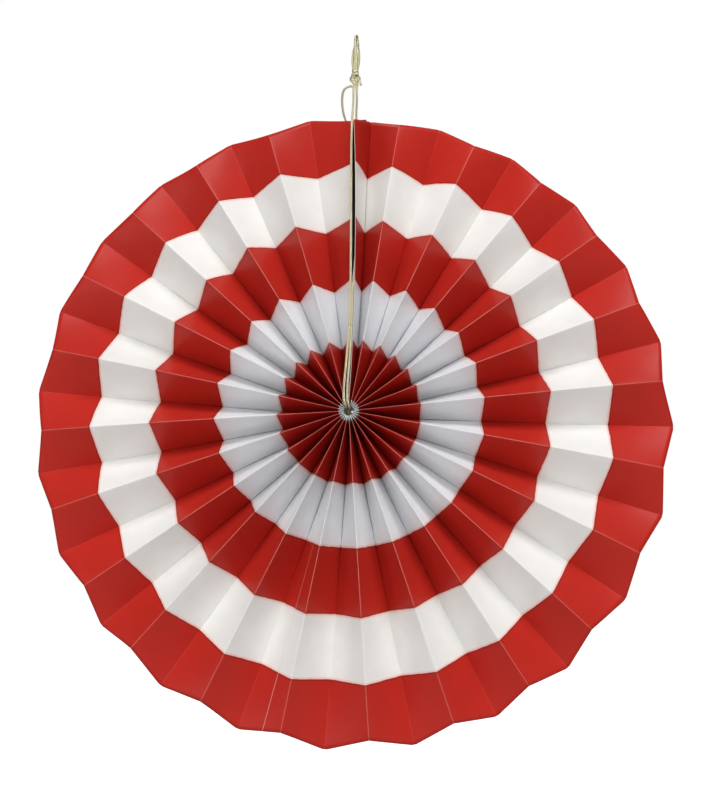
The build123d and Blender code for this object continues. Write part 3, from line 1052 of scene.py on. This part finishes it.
class ROSETTE_OT_hanging_loop(bpy.types.Operator):
    """Stand the doubled loop on the knot and hang the long cut end behind the rim"""

    bl_idname = "rosette.hanging_loop"
    bl_label = "Hanging Loop"

    def execute(self, context):
        settings = context.scene.rosette_cord
        for node, points in LOOP_ROUTES.items():
            add_run(node, points, settings)
        add_run("long_tail", TAIL_ROUTE, settings)
        return {"FINISHED"}


def knotted_line(centre, half_width, half_depth):
    """A closed overhand knot, seen along Y."""
    count, dip, spread = 180, 1.3, 3
    line = []
    for number in range(count):
        t = math.tau * number / count
        across = (math.sin(t) + 2 * math.sin(2 * t)) / spread
        inward = -dip * math.sin(3 * t) / spread
        upward = (math.cos(t) - 2 * math.cos(2 * t)) / spread
        line.append(centre + Vector((across * half_width, inward * half_depth, upward * half_width)))
    return line


def neck_wrap():
    """Turns of cord round the neck of the knot, narrowing as they climb."""
    count, points_per_turn = 66, 24
    half_width, half_depth, start_height = 0.0016, 0.0014, 0.0012
    taper, climb = 0.0000075, 0.00006
    line = []
    for number in range(count):
        angle = math.tau * number / points_per_turn
        across = (half_width - taper * number) * math.cos(angle)
        inward = half_depth * math.sin(angle)
        line.append(KNOT_MIDDLE + Vector((across, inward, start_height + climb * number)))
    return line


def knot_strand(shift):
    """One of the two strands that pass up through the knot, slightly bent by it."""
    steps, start_height, rise = 24, -0.0036, 0.0062
    side_bend, side_rate, depth_bend, depth_rate = 0.0004, 9, 0.0002, 7
    line = []
    for number in range(steps + 1):
        t = number / steps
        across = shift + side_bend * math.sin(side_rate * t)
        inward = depth_bend * math.cos(depth_rate * t)
        line.append(KNOT_MIDDLE + Vector((across, inward, start_height + rise * t)))
    return line


def short_end():
    """The short cut end, which leaves the knot to the right and droops."""
    steps = 16
    start, lean = Vector((0.0011, -0.0013, 0.0006)), Vector((0.0018, -0.0004, 0.0004))
    droop = Vector((0.0, 0.0, -0.0046))
    shares = [number / steps for number in range(steps + 1)]
    return [KNOT_MIDDLE + start + lean * t + droop * (t * t) for t in shares]


def tied_knot(settings):
    """The bundles of the knot above the rim."""
    diameter, lay_length = settings.diameter, settings.lay_length
    short_end_share = 0.95
    knot = knotted_line(KNOT_MIDDLE, KNOT_HALF_WIDTH, KNOT_HALF_DEPTH)
    bundles = [twisted_plies(knot, diameter, lay_length, closed=True)]
    for line in (neck_wrap(), knot_strand(-KNOT_STRAND_SHIFT), knot_strand(KNOT_STRAND_SHIFT)):
        bundles.append(twisted_plies(line, diameter, lay_length))
    bundles.append(twisted_plies(short_end(), short_end_share * diameter, lay_length))
    return bundles


def tied_stopper(settings):
    """The bundles of the stopper knot, within the box of its solid."""
    diameter, lay_length = settings.diameter, settings.lay_length
    cord_room, knot_share, ring_share = 0.55, 1.1, 1.3
    ring_points, ring_width, ring_depth = 60, 0.45, 0.3
    centre = (STOPPER_LOW + STOPPER_HIGH) / 2
    half_width = (STOPPER_HIGH.x - STOPPER_LOW.x) / 2 - cord_room * diameter
    half_depth = (STOPPER_HIGH.y - STOPPER_LOW.y) / 2 - cord_room * diameter
    ring = []
    for number in range(ring_points):
        t = math.tau * number / ring_points
        across = ring_width * half_width * math.cos(t)
        inward = ring_depth * half_depth * math.sin(2 * t)
        ring.append(centre + Vector((across, inward, ring_width * half_width * math.sin(t))))
    knot = knotted_line(centre, half_width, half_depth)
    return [
        twisted_plies(knot, knot_share * diameter, lay_length, closed=True),
        twisted_plies(ring, ring_share * diameter, lay_length, closed=True),
    ]


class ROSETTE_OT_knots(bpy.types.Operator):
    """Tie the knot above the rim, with its short cut end, and the stopper knot behind the hub"""

    bl_idname = "rosette.knots"
    bl_label = "Knots"

    def execute(self, context):
        settings = context.scene.rosette_cord
        thread = metallic_thread(settings)
        for node, bundles in (("loop_knot", tied_knot(settings)), ("stopper_knot", tied_stopper(settings))):
            declare(thread_object(node + "_tied", bundles, thread), node)
        return {"FINISHED"}


# Stage

def pale_floor(settings):
    """A wide pale floor that glows to the camera, more so far from the object."""
    reach, level = settings.floor_reach, -settings.floor_drop
    grey, near_distance, far_distance, near_glow = 0.47, 0.5, 2.2, 0.80
    mesh = bpy.data.meshes.new("floor")
    corners = ((-reach, -reach), (reach, -reach), (reach, reach), (-reach, reach))
    mesh.from_pydata([(x, y, level) for x, y in corners], [], [(0, 1, 2, 3)])
    material, build, ground = new_material("pale_floor")
    ground.inputs["Base Color"].default_value = (grey, grey, grey, 1.0)
    ground.inputs["Roughness"].default_value = 0.9
    ground.inputs["Emission Color"].default_value = (1.0, 1.0, 1.0, 1.0)
    seen = build.add("ShaderNodeLightPath").outputs["Is Camera Ray"]
    away = build.add("ShaderNodeVectorMath", operation="LENGTH")
    build.put(away.inputs[0], build.object_place())
    glow = build.ranged(away.outputs["Value"], near_distance, far_distance, near_glow, 1.0)
    build.put(ground.inputs["Emission Strength"], build.product(seen, glow))
    mesh.materials.append(material)
    linked("floor", mesh)


def studio_air(scene):
    """White air to the camera, which lights the pieces only faintly."""
    faint = 0.045
    world = bpy.data.worlds.new("studio")
    scene.world = world
    world.use_nodes = True
    build = TreeBuilder(world.node_tree)
    air = world.node_tree.nodes["Background"]
    air.inputs["Color"].default_value = (1.0, 1.0, 1.0, 1.0)
    path = build.add("ShaderNodeLightPath").outputs
    plain = build.math("MAXIMUM", path["Is Camera Ray"], path["Is Transmission Ray"])
    build.put(air.inputs["Strength"], build.math("MULTIPLY_ADD", plain, 1.0 - faint, faint))


def soft_light(name, place, size, power):
    """A rectangle of light, aimed at the hub."""
    lamp = bpy.data.lights.new(name, "AREA")
    lamp.shape = "RECTANGLE"
    lamp.size, lamp.size_y = size
    lamp.energy = power
    thing = linked(name, lamp)
    thing.location = place
    thing.rotation_euler = (-Vector(place)).to_track_quat("-Z", "Y").to_euler()


def front_camera(settings):
    """The camera, a little below the disc and close to it."""
    camera = bpy.data.cameras.new("camera")
    camera.sensor_fit = "VERTICAL"
    camera.sensor_height = settings.film_height
    camera.lens = settings.lens
    camera.clip_start = 0.01
    view = linked("camera", camera)
    view.location = CAMERA_PLACE
    view.rotation_euler = [math.radians(angle) for angle in CAMERA_TURNS]
    return view


class ROSETTE_OT_stage(bpy.types.Operator):
    """Set the pale floor, the soft light and the camera"""

    bl_idname = "rosette.stage"
    bl_label = "Stage"

    def execute(self, context):
        scene = context.scene
        settings = scene.rosette_stage
        scene.view_settings.view_transform = "Standard"
        pale_floor(settings)
        studio_air(scene)
        for name, (place, size, power) in SOFT_LIGHTS.items():
            soft_light(name, place, size, getattr(settings, power))
        scene.camera = front_camera(settings)
        return {"FINISHED"}


class ROSETTE_PT_panel(bpy.types.Panel):
    """Sidebar panel that lists the settings and the steps"""

    bl_idname = "ROSETTE_PT_panel"
    bl_label = "Paper Fan Rosette"
    bl_space_type = "VIEW_3D"
    bl_region_type = "UI"
    bl_category = "Rosette"

    def draw(self, context):
        scene = context.scene
        for group in (scene.rosette_sheet, scene.rosette_cord, scene.rosette_stage):
            box = self.layout.box()
            for name in group.__annotations__:
                box.prop(group, name)
        for step in STEPS:
            self.layout.operator(step.bl_idname)


STEPS = (
    ROSETTE_OT_pleated_sheet,
    ROSETTE_OT_seam_glue,
    ROSETTE_OT_cord_strands,
    ROSETTE_OT_hanging_loop,
    ROSETTE_OT_knots,
    ROSETTE_OT_stage,
)
CLASSES = (RosetteSheetSettings, RosetteCordSettings, RosetteStageSettings, *STEPS, ROSETTE_PT_panel)


def register():
    for entry in CLASSES:
        bpy.utils.register_class(entry)
    bpy.types.Scene.rosette_sheet = PointerProperty(type=RosetteSheetSettings)
    bpy.types.Scene.rosette_cord = PointerProperty(type=RosetteCordSettings)
    bpy.types.Scene.rosette_stage = PointerProperty(type=RosetteStageSettings)


def unregister():
    del bpy.types.Scene.rosette_stage
    del bpy.types.Scene.rosette_cord
    del bpy.types.Scene.rosette_sheet
    for entry in reversed(CLASSES):
        bpy.utils.unregister_class(entry)


def main():
    register()
    bpy.ops.rosette.pleated_sheet()
    bpy.ops.rosette.seam_glue()
    bpy.ops.rosette.cord_strands()
    bpy.ops.rosette.hanging_loop()
    bpy.ops.rosette.knots()
    bpy.ops.rosette.stage()


if __name__ == "__main__":
    main()
